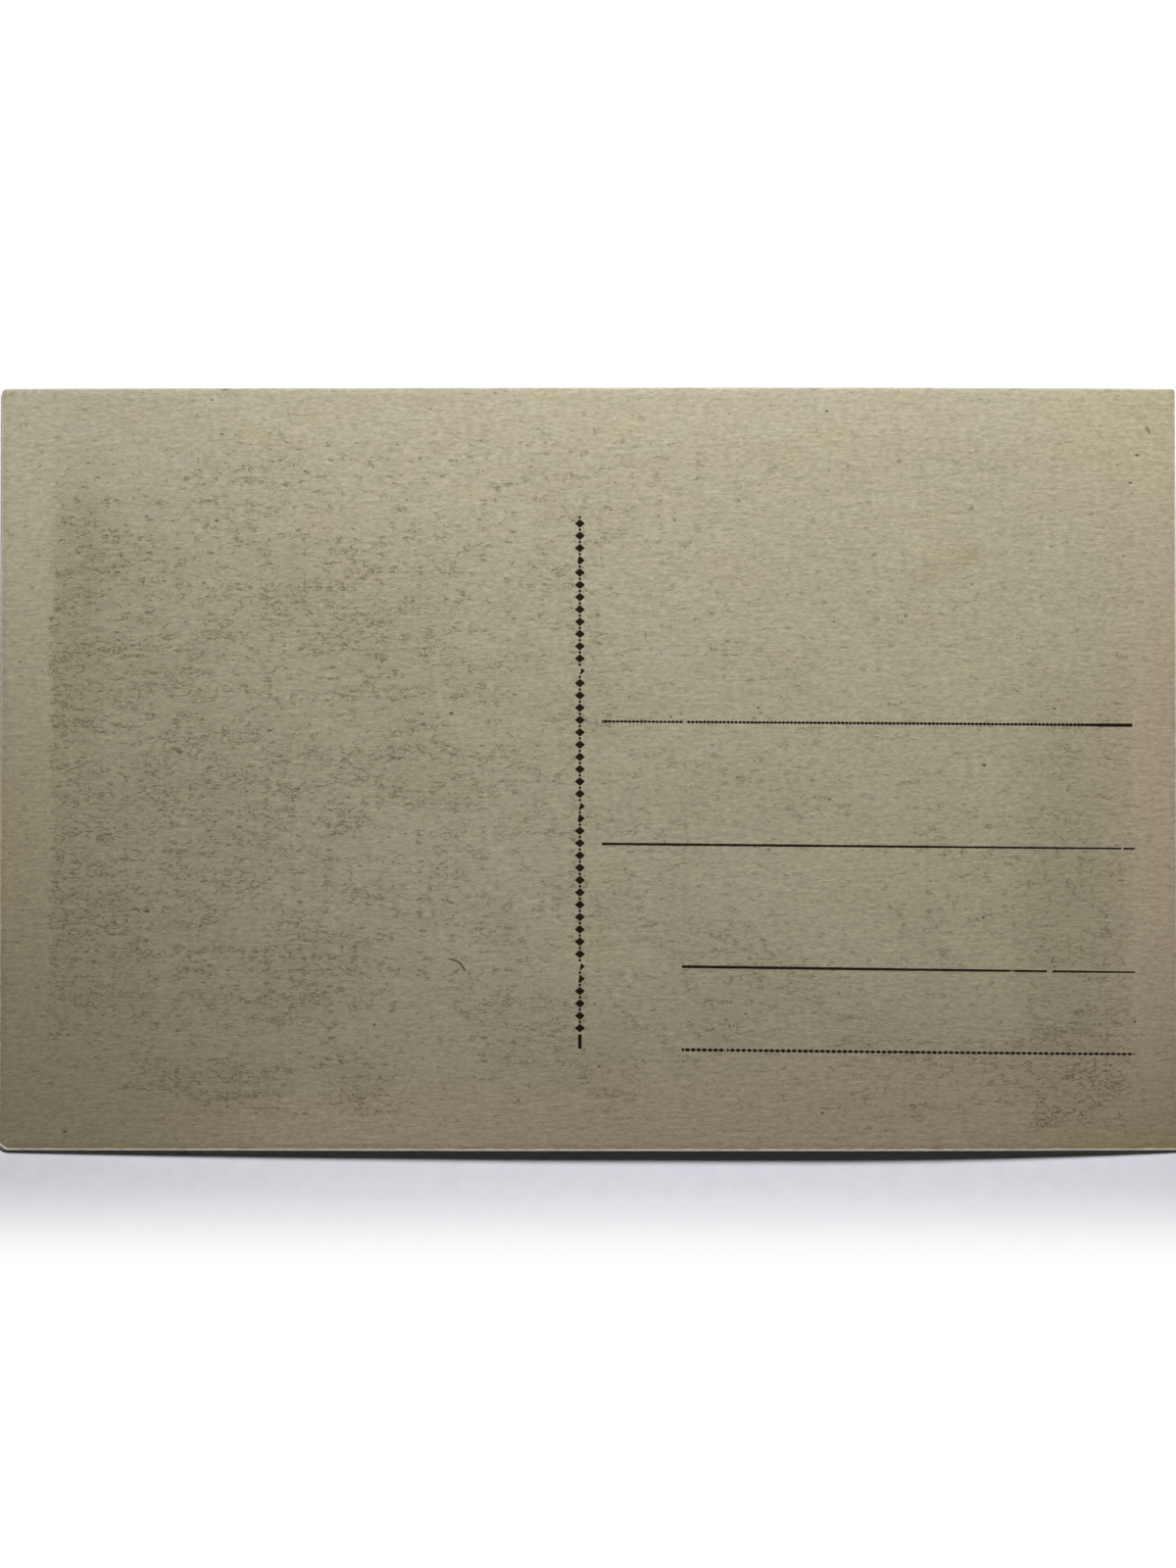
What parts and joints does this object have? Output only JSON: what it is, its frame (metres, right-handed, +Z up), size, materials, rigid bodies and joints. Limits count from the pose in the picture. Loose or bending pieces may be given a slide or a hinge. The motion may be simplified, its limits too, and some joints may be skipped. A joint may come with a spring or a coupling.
{
  "type": "postcard",
  "caption": "Old divided-back postcard of pasted paper sheets, slightly bowed, with printed address rules, a central divider and a picture print underneath.",
  "frame": {"origin": "middle of the card's bounding box, on the surface that it lies on", "axes": "+X along the long side to the right as the address side is read, +Y to the card's upper edge, +Z up out of the address side"},
  "size_m": [0.139, 0.09, 0.0014],
  "materials": {
    "address_paper": "matt, toned, fibrous",
    "picture_paper": "matt, smooth",
    "pulp_core": "matt, rough cut edge",
    "paste": "dull",
    "black_ink": "dull printed film",
    "picture_ink": "dull printed film"
  },
  "bodies": {
    "root": {"address_sheet": "address_paper", "upper_paste_film": "paste", "middle_sheet": "pulp_core", "lower_paste_film": "paste", "picture_sheet": "picture_paper", "address_rule_1": "black_ink", "address_rule_2": "black_ink", "address_rule_3": "black_ink", "address_rule_4": "black_ink", "divider": "black_ink", "picture_print": "picture_ink"}
  },
  "joints": []
}
